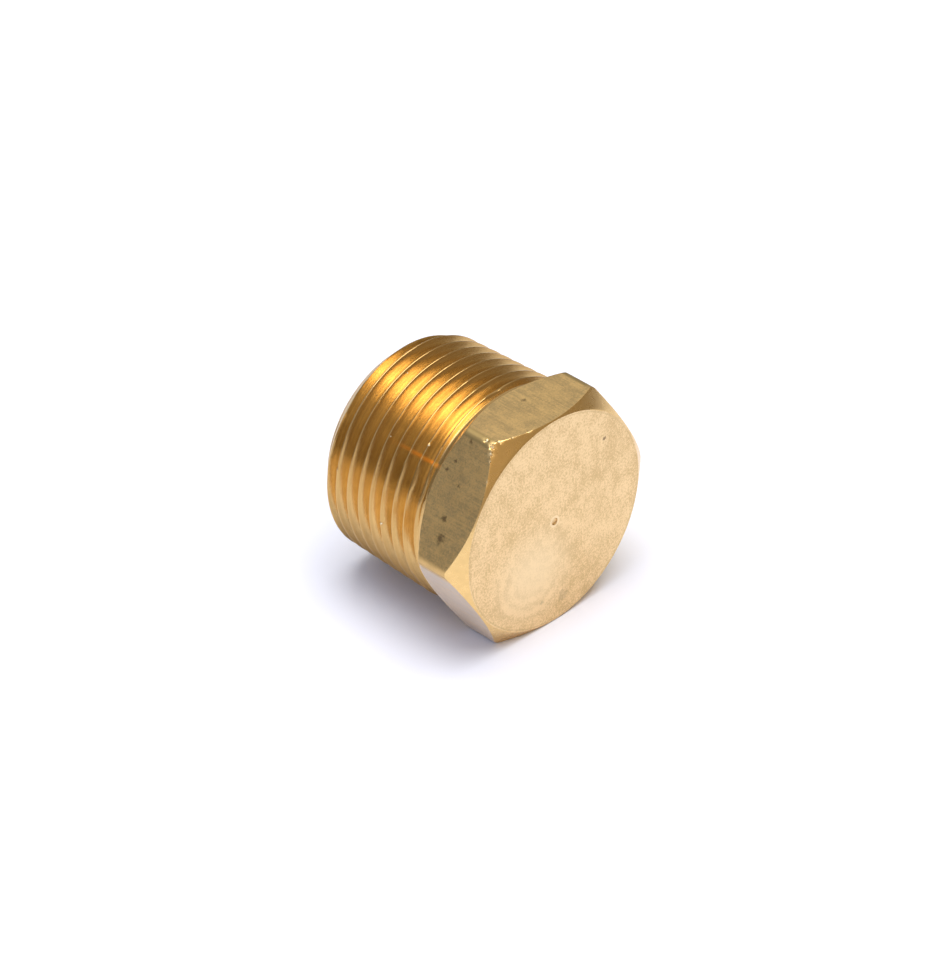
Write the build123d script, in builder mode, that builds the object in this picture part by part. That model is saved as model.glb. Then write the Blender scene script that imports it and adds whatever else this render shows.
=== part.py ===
# Hex head pipe plug, turned in one piece from hexagonal brass bar, with a tapered pipe thread.
# Millimetres, +Z up. The plug lies along X, its flat outer face towards +X and its thread towards -X.
# It rests on one flat of the hexagon, and the origin is on that surface, under the middle of the plug.
import os
from math import atan, ceil, cos, degrees, pi, radians, tan

from build123d import *

# The hexagonal bar and the head
hexagon_sides = 6
across_flats = 26.8
corner_round = 1.1
overall_length = 24.3
head_length = 7.45
face_land = 0.15
face_bevel_angle = 38
back_bevel_angle = 40
centre_pip_radius = 0.4
centre_pip_depth = 0.2

# The tapered thread: 14 to the inch, growing 1 in 16 on diameter from the end towards the head
thread_pitch = 25.4 / 14
diameter_taper = 1 / 16
end_crest_diameter = 26.1
crest_flat = 0.25
flank_angle = 60
end_bevel = 2.05
thread_lead_in = 1.43
run_out_length = 2.2

# The narrow neck between the thread and the head
neck_width = 0.35
neck_depth = 0.35

# How far the thread's cutting tool stands out past the crests, and how far each turn runs into the next
tool_clearance = 0.12
turn_overlap = 0.005

# Worked out from the driving dimensions
flat_radius = across_flats / 2
outside = flat_radius / cos(pi / hexagon_sides) + corner_round
face_radius = flat_radius - face_land
face_bevel_slope = tan(radians(face_bevel_angle))
back_bevel_slope = tan(radians(back_bevel_angle))

radius_taper = diameter_taper / 2
taper_angle = atan(radius_taper)
half_flank_slope = tan(radians(flank_angle / 2))
groove_half_width = (thread_pitch - crest_flat) / 2
thread_depth = groove_half_width / half_flank_slope
tool_half_width = groove_half_width + tool_clearance * half_flank_slope


def crest_radius(reach):
    """Radius of the thread's crest cone at a distance from the outer face."""
    return end_crest_diameter / 2 + (overall_length - reach) * radius_taper


# Lengths run from the outer face towards the threaded end, and radii from the plug's axis
face_x = overall_length / 2
head_plane = Plane(origin=(face_x, 0, flat_radius), x_dir=(0, 1, 0), z_dir=(-1, 0, 0))
section_plane = Plane(origin=(face_x, 0, flat_radius), x_dir=(-1, 0, 0), z_dir=(0, 1, 0))
plug_axis = Axis((face_x, 0, flat_radius), (-1, 0, 0))

neck_radius = crest_radius(head_length) - neck_depth
neck_end = head_length + neck_width
thread_start = neck_end + neck_depth
core_drop = 2 * thread_depth
core_start = thread_start - core_drop
bevel_start = overall_length - end_bevel
bevel_crest = crest_radius(bevel_start)
run_out_end = neck_end + run_out_length

tool_start = overall_length + thread_lead_in
tool_turns = ceil((tool_start - thread_start + thread_depth) / thread_pitch)

with BuildPart() as hex_pipe_plug:
    # The shank, a cone that is bevelled at its end and slopes down to the neck
    with BuildSketch(section_plane):
        with BuildLine():
            Polyline(
                (overall_length, 0),
                (overall_length, bevel_crest - end_bevel),
                (bevel_start, bevel_crest),
                (thread_start, crest_radius(thread_start)),
                (core_start, crest_radius(thread_start) - core_drop),
                (core_start, 0),
                close=True,
            )
        make_face()
    revolve(axis=plug_axis)

    # The thread, a V groove along a tapered right-hand helix, cut one turn after another from the end
    for turn in range(tool_turns):
        reach = tool_start - turn * thread_pitch
        crest = crest_radius(reach)
        root = crest - thread_depth
        with BuildLine():
            Helix(
                thread_pitch / cos(taper_angle),
                thread_pitch + turn_overlap,
                root,
                center=(face_x - reach, 0, flat_radius),
                direction=(1, 0, 0),
                cone_angle=degrees(taper_angle),
            )
        with BuildSketch(section_plane):
            with BuildLine():
                Polyline(
                    (reach, root),
                    (reach + tool_half_width, crest + tool_clearance),
                    (reach - tool_half_width, crest + tool_clearance),
                    close=True,
                )
            make_face()
        sweep(is_frenet=True, mode=Mode.SUBTRACT)

    # The head, with its centre pip and two bevels, the neck and the cone on which the thread runs out
    with BuildSketch(section_plane):
        with BuildLine():
            Polyline(
                (centre_pip_depth, 0),
                (centre_pip_depth, centre_pip_radius),
                (0, centre_pip_radius),
                (0, face_radius),
                ((outside - face_radius) * face_bevel_slope, outside),
                (head_length - (outside - neck_radius) * back_bevel_slope, outside),
                (head_length, neck_radius),
                (neck_end, neck_radius),
                (run_out_end, neck_radius - thread_depth),
                (run_out_end, 0),
                close=True,
            )
        make_face()
    revolve(axis=plug_axis)

    # The hexagonal bar, which leaves the flats on the head
    with BuildSketch(head_plane):
        bar = RegularPolygon(flat_radius, hexagon_sides, major_radius=False)
        fillet(bar.vertices(), corner_round)
    extrude(amount=overall_length, mode=Mode.INTERSECT)

hex_pipe_plug.part.label = "hex_pipe_plug"
os.makedirs("parts", exist_ok=True)
export_step(hex_pipe_plug.part, "parts/hex_pipe_plug.step")
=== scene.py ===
# %% [markdown]
# # A brass hex pipe plug on a white table
#
# The plug is one piece of brass, turned from hexagonal bar. It has a hexagonal head with two turned
# bevels, a narrow neck, and a tapered thread of nine turns that is cut along a helix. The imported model
# is the frame: it gives the plug's length, the distance across its flats, and where it lies. Everything
# is in metres.

# %% The frame
import math
import random

import bmesh
import bpy
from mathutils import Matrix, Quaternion, Vector


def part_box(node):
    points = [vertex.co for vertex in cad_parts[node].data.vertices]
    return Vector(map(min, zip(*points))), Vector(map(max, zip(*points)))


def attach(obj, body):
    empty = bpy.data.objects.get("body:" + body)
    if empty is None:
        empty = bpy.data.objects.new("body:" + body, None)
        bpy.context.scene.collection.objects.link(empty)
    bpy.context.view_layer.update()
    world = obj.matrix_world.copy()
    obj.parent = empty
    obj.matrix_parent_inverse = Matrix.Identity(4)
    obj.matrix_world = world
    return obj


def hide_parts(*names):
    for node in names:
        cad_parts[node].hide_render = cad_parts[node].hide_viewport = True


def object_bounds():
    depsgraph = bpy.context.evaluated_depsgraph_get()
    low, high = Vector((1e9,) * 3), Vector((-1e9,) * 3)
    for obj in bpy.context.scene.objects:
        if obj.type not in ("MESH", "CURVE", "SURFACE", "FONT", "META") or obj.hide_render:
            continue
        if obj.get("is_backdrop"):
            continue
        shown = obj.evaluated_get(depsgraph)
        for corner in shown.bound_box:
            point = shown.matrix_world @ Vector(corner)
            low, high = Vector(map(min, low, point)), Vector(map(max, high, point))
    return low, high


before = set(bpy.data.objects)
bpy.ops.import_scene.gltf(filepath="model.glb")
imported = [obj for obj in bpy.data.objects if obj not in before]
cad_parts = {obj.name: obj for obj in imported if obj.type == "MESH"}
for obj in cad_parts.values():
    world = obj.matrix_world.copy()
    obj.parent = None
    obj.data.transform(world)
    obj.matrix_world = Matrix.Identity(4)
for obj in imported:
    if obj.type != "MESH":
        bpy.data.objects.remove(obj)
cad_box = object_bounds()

node = "hex_pipe_plug"
low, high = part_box(node)
mm = 0.001
overall_length = high.x - low.x
flat_radius = (high.z - low.z) / 2
face_x = high.x
axis_z = low.z + flat_radius
print(f"plug {overall_length / mm:.2f} mm long, {2 * flat_radius / mm:.2f} mm across flats")

# %% [markdown]
# ## Measuring round the axis
#
# A turned part is easiest to describe by its reach from the outer face, its radius from the axis and
# its turn about the axis. Two small functions go between those and the plug's own coordinates, so that
# the shape can be changed with plain formulas after an operator has made the mesh.

# %% Reach, radius and turn
columns = 288
corner_crowding = 0.7
hexagon_sides = 6
side_angle = 2 * math.pi / hexagon_sides
corner_round = 1.1 * mm
round_centre = (flat_radius - corner_round) / math.cos(side_angle / 2)
corner_radius = round_centre + corner_round
round_half_angle = math.atan2(
    corner_round * math.sin(side_angle / 2), round_centre + corner_round * math.cos(side_angle / 2)
)


def place(reach, radius, turn):
    """A point at a reach from the outer face, a radius from the axis and a turn from +Y towards +Z."""
    return Vector((face_x - reach, radius * math.cos(turn), axis_z + radius * math.sin(turn)))


def measure(point):
    """The reach, radius and turn of a point."""
    across, up = point.y, point.z - axis_z
    return face_x - point.x, math.hypot(across, up), math.atan2(up, across)


def crowd(turn):
    """Moves a column of points towards the nearest corner of the hexagon, where the surface bends."""
    return turn - corner_crowding * math.sin(hexagon_sides * turn) / hexagon_sides


def hexagon_radius(turn):
    """How far the bar's surface is from the axis: flat sides that meet in rounded corners."""
    from_corner = abs((turn + side_angle / 2) % side_angle - side_angle / 2)
    if from_corner > round_half_angle:
        return flat_radius / math.cos(side_angle / 2 - from_corner)
    inside = round_centre * math.sin(from_corner)
    return round_centre * math.cos(from_corner) + math.sqrt(corner_round**2 - inside**2)


print(f"corners are {2 * corner_radius / mm:.2f} mm apart across the hexagon")

# %% [markdown]
# ## The head
#
# The head starts as a turned shape: half of its section is a line of a few points, which is rounded at
# its corners, divided and spun about the axis. A boolean could then cut the flats, but it leaves ragged
# little faces along the curved edges. Instead each column of the spun mesh is pressed in until it meets
# the bar, so the curved edges where the bevels meet the flats are lines of the mesh.

# %% Sizes of the head and neck
head_length = 7.45 * mm
face_land = 0.15 * mm
face_radius = flat_radius - face_land
face_bevel_slope = math.tan(math.radians(38))
back_bevel_slope = math.tan(math.radians(40))
pip_radius = 0.4 * mm
pip_depth = 0.2 * mm
neck_width = 0.35 * mm
neck_depth = 0.35 * mm
edge_round = 0.07 * mm

radius_taper = 1 / 32
end_crest_radius = 13.05 * mm


def crest_radius(reach):
    """Radius of the cone that the crests of the thread lie on."""
    return end_crest_radius + (overall_length - reach) * radius_taper


neck_radius = crest_radius(head_length) - neck_depth
neck_end = head_length + neck_width
face_bevel_end = (corner_radius - face_radius) * face_bevel_slope
back_bevel_start = head_length - (corner_radius - neck_radius) * back_bevel_slope
print(f"the flats are {(back_bevel_start - face_bevel_end) / mm:.2f} mm long at the corners")

# %% A section line and its spin


def section_line(bm, points):
    """A chain of edges through points given as reach and radius, in the half plane above the axis."""
    verts = [bm.verts.new(place(reach, radius, math.pi / 2)) for reach, radius in points]
    for pair in zip(verts, verts[1:]):
        bm.edges.new(pair)


def soften(bm, offset, segments):
    """Rounds the corners of a section line."""
    corners = [v for v in bm.verts if len(v.link_edges) == 2]
    bmesh.ops.bevel(
        bm, geom=corners, offset=offset, offset_type="OFFSET", segments=segments,
        profile=0.5, affect="VERTICES", material=-1,
    )


def divide(bm, longest):
    """Halves the edges of a section line until none is longer than this."""
    long_edges = [e for e in bm.edges if e.calc_length() > longest]
    while long_edges:
        bmesh.ops.subdivide_edges(bm, edges=long_edges, cuts=1)
        long_edges = [e for e in bm.edges if e.calc_length() > longest]


def press_to_bar(reach, radius, turn):
    """Shrinks the section of a corner to the section at this turn, one bevel towards each end."""
    bar = hexagon_radius(turn)
    front = (bar - face_radius) / (corner_radius - face_radius)
    back = (bar - neck_radius) / (corner_radius - neck_radius)
    flat_start = front * face_bevel_end
    flat_end = head_length - back * (head_length - back_bevel_start)
    if reach > head_length:
        return reach, radius
    if reach >= back_bevel_start:
        return head_length - back * (head_length - reach), neck_radius + back * (radius - neck_radius)
    if reach > face_bevel_end:
        share = (reach - face_bevel_end) / (back_bevel_start - face_bevel_end)
        shrink = front + share * (back - front)
        return flat_start + share * (flat_end - flat_start), bar - shrink * (corner_radius - radius)
    if radius > face_radius:
        return front * reach, face_radius + front * (radius - face_radius)
    return reach, radius


middle_of_flat = press_to_bar(head_length / 2, corner_radius, side_angle / 2)
print(f"the middle of a flat is pressed to {middle_of_flat[1] / mm:.2f} mm from the axis")

# %% The head
edge_segments = 3
longest_head_edge = 0.45 * mm

head = bmesh.new()
section_line(head, [
    (pip_depth, 0),
    (pip_depth, pip_radius),
    (0, pip_radius),
    (0, face_radius),
    (face_bevel_end, corner_radius),
    (back_bevel_start, corner_radius),
    (head_length, neck_radius),
    (neck_end, neck_radius),
])
soften(head, edge_round, edge_segments)
divide(head, longest_head_edge)
bmesh.ops.spin(
    head, geom=head.verts[:] + head.edges[:], cent=(0, 0, axis_z), axis=(1, 0, 0), dvec=(0, 0, 0),
    angle=2 * math.pi, steps=columns, use_merge=True,
)
for vert in head.verts:
    reach, radius, turn = measure(vert.co)
    turn = crowd(turn)
    vert.co = place(*press_to_bar(reach, radius, turn), turn)
print(f"head: {len(head.verts)} points, {len(head.faces)} faces")

# %% [markdown]
# ## The thread
#
# One pitch of the thread is half a crest, a groove whose flanks meet at 60 degrees, and half of the
# next crest. Copies of that line stand side by side, and one full turn of spin moves them one pitch
# along, so each turn ends where the next begins and the doubles can be merged. The taper, the bevel at
# the end, the run-out at the neck and the flats of the bar are then limits on the radius, as the cuts
# of a lathe are.

# %% Sizes of the thread
pitch = 25.4 * mm / 14
crest_flat = 0.13 * mm
groove_half_width = (pitch - crest_flat) / 2
half_flank_angle = math.radians(30)
thread_depth = groove_half_width / math.tan(half_flank_angle)
crest_round = 0.03 * mm
end_bevel = 2.05 * mm
thread_lead_in = 1.43 * mm
run_out_length = 2.2 * mm

thread_start = neck_end + neck_depth
bevel_start = overall_length - end_bevel
first_crest = overall_length + thread_lead_in + pitch / 2
turns = math.ceil((first_crest - neck_end) / pitch)
print(f"pitch {pitch / mm:.3f} mm, depth {thread_depth / mm:.3f} mm, {turns} turns before trimming")

# %% Limits that the lathe sets


def turned_limit(reach):
    """The largest radius that the turned blank leaves: a bevel at the end and a slope down to the neck."""
    if reach > bevel_start:
        return crest_radius(bevel_start) - (reach - bevel_start)
    if reach < thread_start:
        return crest_radius(thread_start) - (thread_start - reach)
    return crest_radius(reach)


def run_out_limit(reach):
    """The cone on which the grooves become shallow towards the neck."""
    return neck_radius - (reach - neck_end) * thread_depth / run_out_length


def trim_thread(reach, radius, turn):
    """A point of the straight thread after the taper, the bevel, the run-out and the flats of the bar."""
    reach = min(max(reach, neck_end), overall_length)
    tapered = radius + (overall_length - reach) * radius_taper
    cut = max(min(tapered, turned_limit(reach)), run_out_limit(reach))
    return reach, min(cut, hexagon_radius(turn))


neck_limit, end_limit = turned_limit(thread_start), turned_limit(overall_length)
print(f"the blank's radius is {neck_limit / mm:.2f} mm at the neck and {end_limit / mm:.2f} mm at the end")

# %% The thread
crest_segments = 1
longest_thread_edge = 0.3 * mm

thread = bmesh.new()
for number in range(turns):
    crest = first_crest - number * pitch
    section_line(thread, [
        (crest, end_crest_radius),
        (crest - crest_flat / 2, end_crest_radius),
        (crest - pitch / 2, end_crest_radius - thread_depth),
        (crest - pitch + crest_flat / 2, end_crest_radius),
        (crest - pitch, end_crest_radius),
    ])
soften(thread, crest_round, crest_segments)
divide(thread, longest_thread_edge)
bmesh.ops.spin(
    thread, geom=thread.verts[:] + thread.edges[:], cent=(0, 0, axis_z), axis=(1, 0, 0),
    dvec=(pitch / columns, 0, 0), angle=2 * math.pi, steps=columns,
)
weld = 0.001 * mm
bmesh.ops.remove_doubles(thread, verts=thread.verts, dist=weld)
for vert in thread.verts:
    reach, radius, turn = measure(vert.co)
    crowded = crowd(turn)
    reach -= (crowded - turn) * pitch / (2 * math.pi)
    vert.co = place(*trim_thread(reach, radius, crowded), crowded)
bmesh.ops.remove_doubles(thread, verts=thread.verts, dist=weld)
print(f"thread: {len(thread.verts)} points, {len(thread.faces)} faces")

# %% [markdown]
# ## The end, and one closed piece
#
# The head and the thread meet in one rim, so merging the doubles there joins them. The end of the plug
# is a flat disc: the rim that is left open is closed with one face, which is inset a few times to give
# it smaller faces. That leaves one closed skin, as the real plug is one piece of metal.

# %% The whole plug
end_rings = 4
ring_width = 2 * mm

body = bmesh.new()
for shell in (head, thread):
    part_mesh = bpy.data.meshes.new("shell")
    shell.to_mesh(part_mesh)
    shell.free()
    body.from_mesh(part_mesh)
    bpy.data.meshes.remove(part_mesh)
bmesh.ops.remove_doubles(body, verts=body.verts, dist=weld)
bmesh.ops.dissolve_degenerate(body, dist=weld / 10, edges=body.edges)
rim = [e for e in body.edges if e.is_boundary]
end_faces = bmesh.ops.contextual_create(body, geom=rim)["faces"]
for ring in range(end_rings):
    bmesh.ops.inset_region(body, faces=end_faces, thickness=ring_width, use_even_offset=True)
bmesh.ops.recalc_face_normals(body, faces=body.faces)
open_edges = sum(1 for e in body.edges if not e.is_manifold)
print(f"plug: {len(body.verts)} points, {len(body.faces)} faces, {open_edges} open edges")

# %% [markdown]
# ## Nicks
#
# A used plug has knocked corners and small burrs on its crests. Each nick makes the mesh finer round one
# spot and pushes the points there in or out by a depth that fades outwards and varies from point to point,
# so the little facets catch the light. The spots are kept, because the metal is bare there and its finish
# paints it pale, partly as a painted glint.

# %% Nicks on the corners and crests
chance = random.Random(7)
nick_spread = (0.3, 1.5)
face_centre = Vector((face_x, 0, axis_z))


def nick(reach, radius, degrees, size, depth):
    """Dents the skin at a place, or raises a burr if the depth is negative. Returns spot and size."""
    spot = place(reach, radius, math.radians(degrees))
    nearest = min(body.verts, key=lambda vert: (vert.co - spot).length_squared).co.copy()
    close = [e for e in body.edges if ((e.verts[0].co + e.verts[1].co) / 2 - nearest).length < size]
    bmesh.ops.subdivide_edges(body, edges=close, cuts=1, use_grid_fill=True)
    for vert in [v for v in body.verts if (v.co - nearest).length < size]:
        share = 1 - ((vert.co - nearest).length / size) ** 2
        inwards = Vector((0, -vert.co.y, axis_z - vert.co.z)).normalized()
        vert.co += inwards * depth * share * chance.uniform(*nick_spread)
    return tuple((nearest - face_centre) / mm), size / mm


bevel_edge_nicks = [
    (120.6, 0.42, 0.16), (123.2, 0.38, 0.14), (125.6, 0.24, 0.1), (133.5, 0.22, 0.1),
    (117.2, 0.28, 0.1), (111.5, 0.2, 0.07), (104.0, 0.18, 0.06),
]
corner_nicks = [(2.7, 119.5, 0.34, 0.1), (6.1, 185.0, 0.5, 0.16)]
thread_nicks = [
    (9.2, 85, 0.34, -0.02), (21.0, 165, 0.3, -0.08), (13.4, 180, 0.26, -0.08), (10.0, 133, 0.26, -0.06),
    (18.5, 106, 0.2, -0.05), (15.0, 137, 0.18, -0.05), (8.6, 131, 0.2, -0.05),
]
head_spots = []
thread_spots = []
for degrees, size, depth in bevel_edge_nicks:
    edge_radius = hexagon_radius(math.radians(degrees))
    edge_reach = (edge_radius - face_radius) * face_bevel_slope
    head_spots.append(nick(edge_reach, edge_radius, degrees, size * mm, depth * mm))
for reach, degrees, size, depth in corner_nicks:
    head_spots.append(nick(reach * mm, corner_radius, degrees, size * mm, depth * mm))
for reach, degrees, size, depth in thread_nicks:
    thread_spots.append(nick(reach * mm, crest_radius(reach * mm), degrees, size * mm, depth * mm))
print(f"{len(head_spots)} nicks on the head and {len(thread_spots)} on the thread")

# %% [markdown]
# ## Where each finish goes
#
# The outer face was faced off on a lathe, the flats are the skin of the drawn bar, the bevels and the
# thread were cut with a sharp tool, and the end was parted off. Each is a material slot, chosen by
# where a face lies and which way it looks.

# %% Slots by surface
face_slot, flat_slot, bevel_slot, thread_slot, end_slot = range(5)
axial = 0.97
sideways = 0.25
end_bevel_lean = -0.5
skin = 0.01 * mm
pip_reach = pip_depth * 1.1
pip_edge = pip_radius * 1.2
sharp_angle = math.radians(28)


def finish_of(face):
    """The number of the finish that a face of the plug has."""
    reach, radius = measure(face.calc_center_median())[:2]
    lean = face.normal.x
    if reach < pip_reach and (lean > axial or radius < pip_edge):
        return face_slot
    on_end_bevel = reach > bevel_start and lean < end_bevel_lean and radius < turned_limit(reach) + skin
    if lean < -axial or on_end_bevel:
        return end_slot
    if reach > head_length:
        return thread_slot
    return flat_slot if abs(lean) < sideways else bevel_slot


for face in body.faces:
    face.material_index = finish_of(face)
    face.smooth = True
plug_mesh = bpy.data.meshes.new("brass_plug")
body.to_mesh(plug_mesh)
body.free()
plug_mesh.set_sharp_from_angle(angle=sharp_angle)
plug = bpy.data.objects.new("brass_plug", plug_mesh)
bpy.context.scene.collection.objects.link(plug)
even_normals = plug.modifiers.new("even_normals", "WEIGHTED_NORMAL")
even_normals.keep_sharp = True
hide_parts(node)
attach(plug, "root")
triangles = sum(len(p.vertices) - 2 for p in plug_mesh.polygons)
print(f"{plug.name}: {triangles} triangles")

# %% [markdown]
# ## Shader maths as expressions
#
# A finish is a sum of small patterns, and written node by node it is hard to read. This class wraps one
# socket and overloads the operators, so that an expression adds its own Math nodes.

# %% A socket that does maths


class Wire:
    """One output socket of a node tree."""

    def __init__(self, tree, socket=None):
        self.tree = tree
        self.socket = socket

    def node(self, kind, settings=None, output=0, **inputs):
        """Adds a node: its settings first, then the values or links of its sockets."""
        made = self.tree.nodes.new(kind)
        for name, value in (settings or {}).items():
            setattr(made, name, value)
        for name, value in inputs.items():
            key = int(name[1:]) if name[1:].isdigit() else name.replace("_", " ")
            socket = made.inputs[key]
            if isinstance(value, Wire):
                self.tree.links.new(value.socket, socket)
            else:
                socket.default_value = value
        return Wire(self.tree, made.outputs[output])

    def math(self, operation, first, second=0.0):
        """A Math node on one or two values."""
        return self.node("ShaderNodeMath", {"operation": operation}, _0=first, _1=second)

    def __add__(self, other):
        return self.math("ADD", self, other)

    def __radd__(self, other):
        return self.math("ADD", other, self)

    def __sub__(self, other):
        return self.math("SUBTRACT", self, other)

    def __rsub__(self, other):
        return self.math("SUBTRACT", other, self)

    def __mul__(self, other):
        return self.math("MULTIPLY", self, other)

    def __rmul__(self, other):
        return self.math("MULTIPLY", other, self)

    def __truediv__(self, other):
        return self.math("DIVIDE", self, other)

    def clamp(self):
        """The value, kept between 0 and 1."""
        return self.node("ShaderNodeClamp", Value=self)

    def between(self, start, end):
        """0 at start and before, 1 at end and after, smooth in between."""
        smooth = {"interpolation_type": "SMOOTHSTEP"}
        return self.node("ShaderNodeMapRange", smooth, Value=self, From_Min=start, From_Max=end)


# The angle about the axis jumps here, on the lower side that faces away
hidden_seam = math.radians(-60)


class Finish(Wire):
    """A new brass material: its wire, its place on the plug in millimetres, and its shader."""

    def __init__(self, name):
        self.material = bpy.data.materials.new(name)
        self.material.use_nodes = True
        super().__init__(self.material.node_tree)
        self.tree.nodes.clear()
        object_place = self.node("ShaderNodeTexCoord", output=3)
        centred = self.node(
            "ShaderNodeVectorMath", {"operation": "SUBTRACT"}, _0=object_place, _1=(face_x, 0, axis_z)
        )
        self.spot = self.node(
            "ShaderNodeVectorMath", {"operation": "SCALE"}, _0=centred, Scale=1 / mm
        )
        split = self.node("ShaderNodeSeparateXYZ", _0=self.spot)
        self.along = split
        self.across = Wire(self.tree, split.socket.node.outputs[1])
        self.up = Wire(self.tree, split.socket.node.outputs[2])
        self.radius = self.math("SQRT", self.across * self.across + self.up * self.up)

    def thread_place(self):
        """Distance across the thread in pitches, constant along a turn, and the angle about the axis."""
        ahead = self.up * math.cos(hidden_seam) - self.across * math.sin(hidden_seam)
        level = self.across * math.cos(hidden_seam) + self.up * math.sin(hidden_seam)
        turn = self.math("ARCTAN2", ahead * -1.0, level * -1.0)
        phase = self.along / (pitch / mm) - turn / (2 * math.pi)
        return self.node("ShaderNodeCombineXYZ", _0=phase, _1=turn, _2=self.radius)

    def noise(self, scale, detail=3.0, stretch=None, roughness=0.55, spot=None):
        """Soft noise from 0 to 1, with a number of blotches in a millimetre, stretched along the axes."""
        spot = spot or self.spot
        if stretch:
            spot = self.node("ShaderNodeMapping", Vector=spot, Scale=stretch)
        return self.node(
            "ShaderNodeTexNoise", Vector=spot, Scale=scale, Detail=detail, Roughness=roughness
        )

    def distance(self, middle):
        """How far a place on the plug is from a point, in millimetres."""
        apart = {"operation": "DISTANCE"}
        return self.node("ShaderNodeVectorMath", apart, output=1, _0=self.spot, _1=middle)

    def mark(self, middle, size, softness=0.5):
        """1 inside a small ragged mark and 0 outside, placed from the face's centre in millimetres."""
        ragged = self.noise(1.6 / size, 3.0)
        edge = self.distance(middle) + (ragged - 0.5) * size * 2.2
        return 1 - edge.between(size * (1 - softness), size)

    def marks(self, spots, share):
        """1 inside any of some marks, each a share of its given size."""
        inside = 0.0
        for middle, size in spots:
            inside = self.math("MAXIMUM", self.mark(middle, size * share, 0.8), inside)
        return inside

    def mix(self, factor, first, second):
        """A colour between two others."""
        return self.node(
            "ShaderNodeMix", {"data_type": "RGBA"}, output=2, _0=factor, _6=first, _7=second
        )

    def bump(self, height, strength, distance):
        """A normal that is tilted by a pattern of heights."""
        return self.node("ShaderNodeBump", Height=height, Strength=strength, Distance=distance)

    def metal(self, colour, roughness, normal, metallic=1.0):
        """Closes the material with a metal shader."""
        shader = self.node(
            "ShaderNodeBsdfPrincipled",
            Base_Color=colour, Metallic=metallic, Roughness=roughness, Normal=normal,
        )
        output = self.tree.nodes.new("ShaderNodeOutputMaterial")
        self.tree.links.new(shader.socket, output.inputs["Surface"])
        return self.material


print("expressions are ready")

# %% [markdown]
# ## The finishes
#
# Brass reflects yellow light, so most of the plug's colour is the room seen in brass. The finishes
# differ in how dull they are and in what has happened to the metal. They share a few colours, which
# come first. Marks are placed from the centre of the outer face, in millimetres along the axis, across
# and up.

# %% Colours of the brass
pale_brass = (0.85, 0.62, 0.33, 1)
# Paler brass: a patch on the outer face, and a painted highlight on the pip's rim.
paler_brass = (0.88, 0.69, 0.41, 1)
tan_brass = (0.62, 0.43, 0.20, 1)
gold_brass = (0.91, 0.62, 0.26, 1)
olive_brass = (0.56, 0.395, 0.18, 1)
amber_brass = (0.70, 0.47, 0.19, 1)
cut_brass = (0.82, 0.555, 0.23, 1)
brown_brass = (0.57, 0.375, 0.145, 1)
# Grey for the lower near flat: a painted reflection of the shaded table.
shaded_table_grey = (0.66, 0.56, 0.48, 1)
# Painted shade for the upper corners of the flats.
corner_shade = (0.36, 0.26, 0.11, 1)
# A painted orange reflection along the thread.
orange_reflection = (1.0, 0.55, 0.16, 1)
# Painted shade on the flanks just below the crests.
crest_shade = (0.58, 0.36, 0.13, 1)
# Bare metal, pale and less metallic: partly a painted glint.
bare_brass_and_glint = (0.98, 0.90, 0.64, 1)
dark_tarnish = (0.16, 0.10, 0.05, 1)
bare_share = 0.6
bare_metallic_drop = 0.7
print(f"a knocked spot is bare over {bare_share:.0%} of its size")

# %% [markdown]
# ### The outer face
#
# A lathe tool faced this surface off, and handling dulled it. Grain over larger mottling gives the dull
# look, and faint rings follow the lathe. A patch below the middle is paler, with arcs on its lower left
# side, and the rim of the pip carries a painted highlight. The rings and arcs could be a Wave texture, but
# a sine of a disturbed radius is easier to keep to one part of the face.

# %% The faced-off outer face
patch_across, patch_up = -3.5, -5.5
pip_rim_radius = 0.6
edge_line_radius = 13.05
face_pits = [((0, 7.8, 7.13), 0.3, 0.8), ((0, -2.1, -9.9), 0.3, 0.4), ((0, 1.2, -10.6), 0.9, 0.25)]


def turned_face():
    """Lathe rings over a dull, grainy face, with dark pits, a paler patch and a painted highlight on the
    pip's rim.
    """
    brass = Finish("turned_face")
    blotches = brass.noise(0.5, 7.0, roughness=0.75)
    patches = brass.noise(0.13, 2.0)
    grain = brass.noise(4.0, 5.0, roughness=0.8)
    away = brass.distance((0, patch_across, patch_up))
    pale_patch = 1 - away.between(1.0, 8.0)
    waves = brass.math("SINE", away * 4.2 + brass.noise(0.35, 3.0) * 7.0)
    lower_left = ((brass.across - patch_across) * -0.6 + (brass.up - patch_up) * -0.8).between(-2.0, 1.5)
    arcs = waves * away.between(1.5, 3.0) * lower_left * (1 - away.between(4.5, 7.0))
    swirl = brass.radius + (brass.noise(0.3, 3.0) - 0.5) * 3.0
    rings = brass.math("SINE", swirl * 4.6) * (pale_patch + patches.between(0.5, 0.7) * 0.4)
    tint = (blotches - 0.5) * 3.2 + (patches - 0.5) * 1.0 + (grain - 0.5) * 4.8
    tint = (tint + rings * 0.2 + arcs * 0.36 + 0.42).clamp()
    colour = brass.mix(tint, pale_brass, tan_brass)
    specks = brass.noise(2.2, 3.0, roughness=0.7).between(0.64, 0.74)
    colour = brass.mix(specks * 0.55, colour, olive_brass)
    for middle, size, strength in face_pits:
        colour = brass.mix(brass.mark(middle, size) * strength, colour, dark_tarnish)
    # The pip's rim is painted paler: a painted highlight.
    rim = 1 - brass.math("ABSOLUTE", brass.radius - pip_rim_radius).between(0.05, 0.2)
    colour = brass.mix(rim * 0.8, colour, paler_brass)
    # A patch below the middle of the face is made paler.
    colour = brass.mix(pale_patch * 0.7, colour, paler_brass)
    edge_line = 1 - brass.math("ABSOLUTE", brass.radius - edge_line_radius).between(0.03, 0.14)
    colour = brass.mix(edge_line * 0.45, colour, olive_brass)
    normal = brass.bump(grain * 0.6 + rings * 0.2 + rim * 0.5, 0.4, 0.04 * mm)
    return brass.metal(colour, 0.38 + (grain - 0.5) * 0.2, normal)


plug_mesh.materials.append(turned_face())
print(f"outer face with {len(face_pits)} pits")
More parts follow.
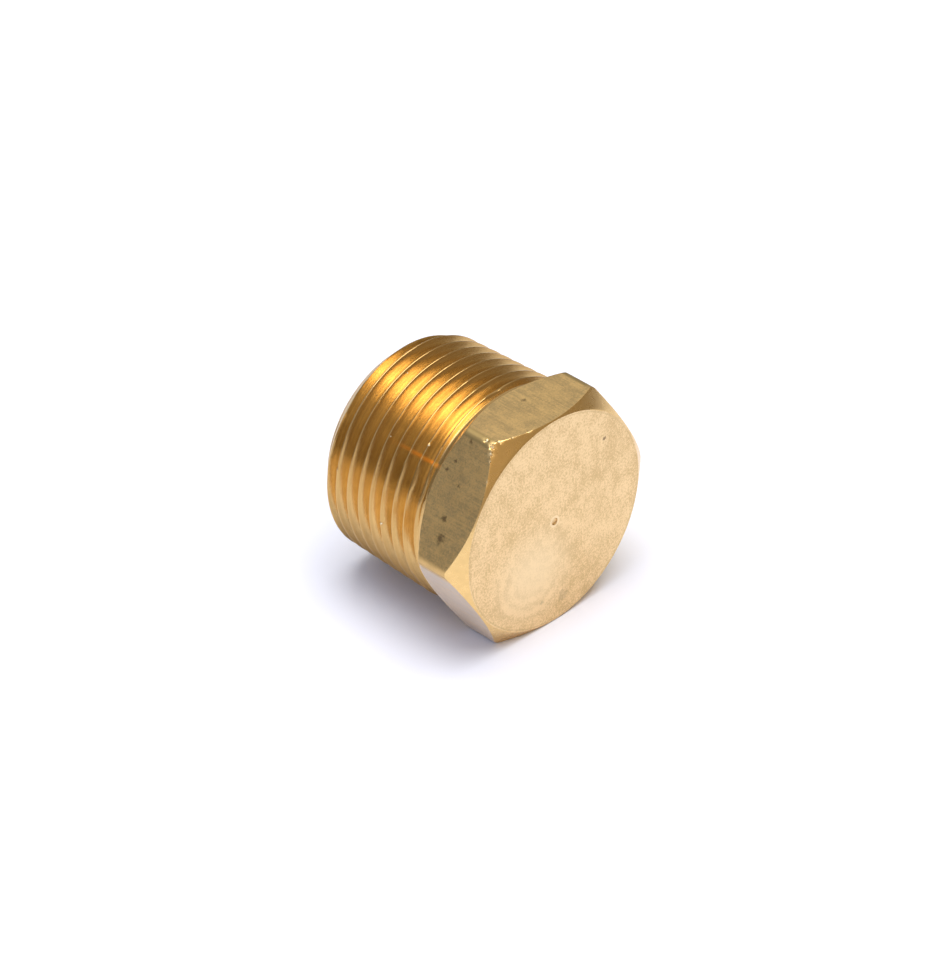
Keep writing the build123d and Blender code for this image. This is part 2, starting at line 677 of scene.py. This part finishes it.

# %% [markdown]
# ### The flats
#
# The flats are the skin of the drawn bar, so their lines run lengthwise: noise that is stretched along the
# axis. Pits are dark marks with ragged edges. The upper corners are rougher and carry painted shade, and
# the two at the sides are painted browner as shade. The near flat that leans down to the table is scuffed,
# and painted grey as a reflection of the shaded table; a lower metallic value gives that look.

# %% The skin of the bar
corner_start, corner_end = 15.08, 15.2
flat_pits = [
    ((-5.45, -9.53, 10.24), 0.3), ((-6.16, -10.2, 9.13), 0.34), ((-4.47, -8.17, 12.66), 0.36),
    ((-4.25, -12.64, 4.91), 0.55), ((-3.8, -13.74, 3.01), 0.8), ((-3.89, -10.65, 8.35), 0.3),
    ((-5.1, 0.5, 13.4), 0.35), ((-6.2, -15.0, 0.2), 0.5),
]


def drawn_flat():
    """Skin of the bar: lines, mottling, dark pits, painted shade on corners, a scuffed flat with painted
    reflection.
    """
    brass = Finish("drawn_flat")
    mottle = brass.noise(0.8, 6.0, roughness=0.65)
    patches = brass.noise(0.25, 2.0)
    lines = brass.noise(4.0, 2.0, stretch=(0.05, 1, 1))
    grain = brass.noise(5.0, 4.0, roughness=0.7)
    tint = (mottle - 0.5) * 2.6 + (lines - 0.5) * 1.2 + (patches - 0.5) * 0.8 + (grain - 0.5) * 2.4
    colour = brass.mix((tint + 0.5).clamp(), gold_brass, olive_brass)
    corner = brass.radius.between(corner_start, corner_end)
    # The upper corners get painted shade, and more roughness below.
    upper_corner = corner * brass.up.between(3.0, 6.0) * brass.along.between(-1.7, -2.4)
    colour = brass.mix(upper_corner, colour, corner_shade)
    # The side corners are painted browner: painted shade.
    side_corner = corner * (1 - brass.math("ABSOLUTE", brass.up).between(1.5, 3.0))
    colour = brass.mix(side_corner * 0.7, colour, brown_brass)
    # The lower near flat is scuffed, duller and less metallic, and painted grey as a reflection of the
    # shaded table.
    scuff_and_reflection = brass.up.between(-0.7, -1.5) * brass.across.between(-5.5, -6.5)
    colour = brass.mix(scuff_and_reflection * (0.8 + (lines - 0.5) * 1.2), colour, shaded_table_grey)
    for middle, size in flat_pits:
        colour = brass.mix(brass.mark(middle, size, 0.8) * 0.75, colour, dark_tarnish)
    # Knocked spots show bare brass, painted pale as a glint.
    bare = brass.marks(head_spots, bare_share)
    colour = brass.mix(bare, colour, bare_brass_and_glint)
    dull = 0.34 + (mottle - 0.5) * 0.2 + upper_corner * 0.2 + side_corner * 0.15 + scuff_and_reflection * 0.15
    normal = brass.bump(lines + mottle, 0.3, 0.03 * mm)
    return brass.metal(colour, dull, normal, 1 - scuff_and_reflection * 0.5 - bare * bare_metallic_drop)


plug_mesh.materials.append(drawn_flat())
print(f"flats with {len(flat_pits)} pits and {len(head_spots)} bare spots")

# %% [markdown]
# ### The bevels
#
# The two bevels were turned with a sharp tool and are smoother than the face. A little mottling between
# two golds is enough, and the knocked spots on their edge show bare metal, painted pale as a glint.

# %% The turned bevels


def turned_bevel():
    """A bevel left by the tool, smoother and browner than the face."""
    brass = Finish("turned_bevel")
    mottle = brass.noise(1.2, 5.0)
    colour = brass.mix(mottle, gold_brass, amber_brass)
    # Knocked spots show bare brass, painted pale as a glint.
    bare = brass.marks(head_spots, bare_share)
    colour = brass.mix(bare, colour, bare_brass_and_glint)
    normal = brass.bump(mottle, 0.2, 0.02 * mm)
    return brass.metal(colour, 0.28 + (mottle - 0.5) * 0.1, normal, 1 - bare * bare_metallic_drop)


plug_mesh.materials.append(turned_bevel())
print("bevels with a smooth mottled finish")

# %% [markdown]
# ### The thread
#
# The threading tool leaves fine marks along each turn. Noise in plain coordinates would cut across them,
# so the finish measures its place across and along the turns, and stretches noise along them. The flanks
# just below the crests carry painted shade, and one painted orange reflection, over a slight bump, crosses
# several turns.

# %% The cut thread
# Where the painted orange reflection lies on the thread.
reflection_turn = math.radians(19)
reflection_along = (-16.0, -9.0)


def cut_thread():
    """Bright cut brass with tool marks along each turn, painted shade near the crests, a painted orange
    reflection.
    """
    brass = Finish("cut_thread")
    thread_spot = brass.thread_place()
    streaks = brass.noise(9.0, 3.0, stretch=(1, 0.06, 0.3), spot=thread_spot)
    mottle = brass.noise(0.8, 5.0)
    fine = brass.noise(6.0, 3.0)
    tint = ((streaks - 0.5) * 2.2 + (mottle - 0.5) * 1.0 + (fine - 0.5) * 0.8 + 0.45).clamp()
    colour = brass.mix(tint, cut_brass, brown_brass)
    # The flanks just below the crests are painted darker: painted shade.
    crest_cone = (brass.along + overall_length / mm) * radius_taper + end_crest_radius / mm
    crest = 1 - (crest_cone - brass.radius).between(0.1, 0.6)
    colour = brass.mix(crest * 0.85, colour, crest_shade)
    # A painted orange reflection along the thread, with a slight bump under it.
    turn = brass.node("ShaderNodeSeparateXYZ", output=1, _0=thread_spot)
    streak = 1 - brass.math("ABSOLUTE", turn - reflection_turn).between(0.006, 0.03)
    streak = streak * brass.along.between(*reflection_along)
    colour = brass.mix(streak, colour, orange_reflection)
    # Burrs show bare brass, painted pale as a glint.
    bare = brass.marks(thread_spots, bare_share)
    colour = brass.mix(bare, colour, bare_brass_and_glint)
    normal = brass.bump(streaks + fine * 0.5 + streak * 0.6, 0.25, 0.03 * mm)
    return brass.metal(colour, 0.23 + (fine - 0.5) * 0.16, normal, 1 - bare * bare_metallic_drop)


plug_mesh.materials.append(cut_thread())
print(f"thread with {len(thread_spots)} bare spots")

# %% [markdown]
# ### The parted end
#
# The end was cut off with a parting tool, which leaves close rings. A sine of the radius makes them as
# a bump, and no mark is needed on this plain, hidden side.

# %% The end and its bevel


def parted_end():
    """The end and its bevel, dull, with rings left by the parting tool."""
    brass = Finish("parted_end")
    rings = brass.math("SINE", brass.radius * 18.0)
    grain = brass.noise(4.0, 3.0)
    colour = brass.mix(grain, tan_brass, brown_brass)
    normal = brass.bump(rings * 0.4 + grain, 0.3, 0.02 * mm)
    return brass.metal(colour, 0.42 + (grain - 0.5) * 0.15, normal)


plug_mesh.materials.append(parted_end())
print("finishes:", [m.name for m in plug_mesh.materials])

# %% [markdown]
# ## The table
#
# The plug lies on white paper, which is also what the lower side of the brass mirrors. One large face
# is enough. Far beyond the outer face the paper gives way to a darker desk, outside the picture, so
# that the sides of the crests don't mirror white.

# %% The table
table_half_size = 4.0
table_gap = 0.02 * mm
white_paper = (0.84, 0.87, 0.97, 1)
brown_desk = (0.22, 0.15, 0.09, 1)
paper_end, desk_start = 0.3, 0.5

table_mesh = bpy.data.meshes.new("table")
table_bm = bmesh.new()
bmesh.ops.create_grid(table_bm, x_segments=1, y_segments=1, size=table_half_size)
bmesh.ops.translate(table_bm, verts=table_bm.verts, vec=(0, 0, low.z - table_gap))
table_bm.to_mesh(table_mesh)
table_bm.free()
table = bpy.data.objects.new("table", table_mesh)
bpy.context.scene.collection.objects.link(table)
table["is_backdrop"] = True

paper = bpy.data.materials.new("white_paper")
paper.use_nodes = True
paper.node_tree.nodes.clear()
paper_wire = Wire(paper.node_tree)
paper_place = paper_wire.node("ShaderNodeTexCoord", output=3)
on_desk = paper_wire.node("ShaderNodeSeparateXYZ", _0=paper_place).between(paper_end, desk_start)
paper_colour = paper_wire.node(
    "ShaderNodeMix", {"data_type": "RGBA"}, output=2, _0=on_desk, _6=white_paper, _7=brown_desk
)
diffuse = paper_wire.node("ShaderNodeBsdfDiffuse", Color=paper_colour)
paper_out = paper.node_tree.nodes.new("ShaderNodeOutputMaterial")
paper.node_tree.links.new(diffuse.socket, paper_out.inputs["Surface"])
table_mesh.materials.append(paper)
print(f"paper for {paper_end} m beyond the plug, then a desk")

# %% [markdown]
# ## The room
#
# Metal shows what is round it, so the room matters as much as the lamps. It could be modelled with
# walls, but a world whose brightness depends on direction does the same with less: dim near the floor,
# lighter above, a pale back wall for the upper flat, a bluish window, a dim corner and a warm side
# before the outer face.

# %% The room
world = bpy.data.worlds.new("room")
bpy.context.scene.world = world
world.use_nodes = True
world.node_tree.nodes.clear()
room = Wire(world.node_tree)
direction = room.node("ShaderNodeTexCoord", output=0)
wall_colour = (1.0, 0.97, 0.92, 1)
window_colour = (0.75, 0.86, 1.2, 1)
warm_colour = (1.0, 0.78, 0.5, 1)


def towards(vector):
    """How nearly a ray of the room runs in a direction, from -1 to 1."""
    unit = Vector(vector).normalized()
    return room.node("ShaderNodeVectorMath", {"operation": "DOT_PRODUCT"}, output=1, _0=direction, _1=unit)


def room_mix(factor, first, second):
    """A colour of the room between two others."""
    return room.node("ShaderNodeMix", {"data_type": "RGBA"}, output=2, _0=factor, _6=first, _7=second)


height = towards((0, 0, 1)).between(0.0, 0.35)
back_wall = towards((-0.575, 0.573, 0.584)).between(0.82, 0.99)
window = towards((0.3, -0.5, 0.8)).between(0.5, 0.95)
dim_corner = towards((-0.575, -0.58, 0.58)).between(0.88, 0.99)
warm_side = towards((0.95, 0.25, 0.15)).between(0.2, 0.8)
level = 0.205 + height * 0.09 + back_wall * 0.27 + window * 0.6 + warm_side * 0.06 - dim_corner * 0.08
room_colour = room_mix(warm_side, room_mix(window, wall_colour, window_colour), warm_colour)
sky = room.node("ShaderNodeBackground", Color=room_colour, Strength=level)
world_out = world.node_tree.nodes.new("ShaderNodeOutputWorld")
world.node_tree.links.new(sky.socket, world_out.inputs["Surface"])
print(f"room with {len(world.node_tree.nodes)} nodes")

# %% [markdown]
# ## The lamps
#
# A wide softbox overhead gives soft shadows. A small panel near the thread makes its long highlight:
# being close, it is seen at a different angle by each turn, so the highlight is strongest near the
# head.

# %% The lamps


def softbox(name, target, towards_lamp, distance, size, radiance, colour):
    """An area lamp that looks at a target from a direction, with its two side lengths in metres."""
    lamp = bpy.data.lights.new(name, "AREA")
    lamp.shape = "RECTANGLE"
    lamp.size, lamp.size_y = size
    lamp.energy = radiance * math.pi * size[0] * size[1]
    lamp.color = colour
    holder = bpy.data.objects.new(name, lamp)
    unit = Vector(towards_lamp).normalized()
    holder.location = target + unit * distance
    holder.rotation_mode = "QUATERNION"
    holder.rotation_quaternion = (-unit).to_track_quat("-Z", "Y")
    bpy.context.scene.collection.objects.link(holder)
    print(f"{name}: {lamp.energy:.3f} W")


plug_middle = Vector((0, 0, axis_z))
band_start = place(3 * mm, 13.4 * mm, math.radians(117))
softbox(
    "overhead_softbox", plug_middle, (0.1, 0.07, 1.0),
    distance=0.8, size=(0.75, 0.75), radiance=4.0, colour=(1.0, 0.98, 0.94),
)
softbox(
    "near_panel", band_start, (-0.39, -0.18, 0.90),
    distance=0.09, size=(0.045, 0.016), radiance=5.0, colour=(1.0, 0.95, 0.86),
)

# %% [markdown]
# ## The camera
#
# The camera looks at the plug from the photograph's angle, from half a metre away through a long lens,
# which keeps the hexagon's edges nearly parallel. It is placed by a point to aim at, a distance, two
# angles and a small roll.

# %% The camera
aim = Vector((0.098, -0.184, 13.12)) * mm
camera_distance = 552.2 * mm
camera_azimuth = math.radians(-44.292)
camera_elevation = math.radians(35.401)
camera_roll = math.radians(-1.091)
outward = Vector((
    math.cos(camera_elevation) * math.cos(camera_azimuth),
    math.cos(camera_elevation) * math.sin(camera_azimuth),
    math.sin(camera_elevation),
))
camera_data = bpy.data.cameras.new("photo_camera")
camera_data.lens = 187.5
camera_data.sensor_width = 36
camera_data.clip_start = 0.01
camera = bpy.data.objects.new("photo_camera", camera_data)
camera.location = aim + outward * camera_distance
camera.rotation_mode = "QUATERNION"
camera.rotation_quaternion = (-outward).to_track_quat("-Z", "Y") @ Quaternion((0, 0, 1), camera_roll)
bpy.context.scene.collection.objects.link(camera)
bpy.context.scene.camera = camera
bpy.context.scene.view_settings.view_transform = "Standard"
print(f"camera {camera_distance / mm:.0f} mm from the plug")

# %% [markdown]
# ## The sizes, and the end
#
# Both boxes are measured, and the largest difference between them is printed. The dressed plug may
# not outgrow the imported model.

# %% The two boxes
seen_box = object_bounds()
widest = max(abs(a - b) for cad, seen in zip(cad_box, seen_box) for a, b in zip(cad, seen))
print(f"the two boxes differ by at most {widest / mm:.3f} mm")
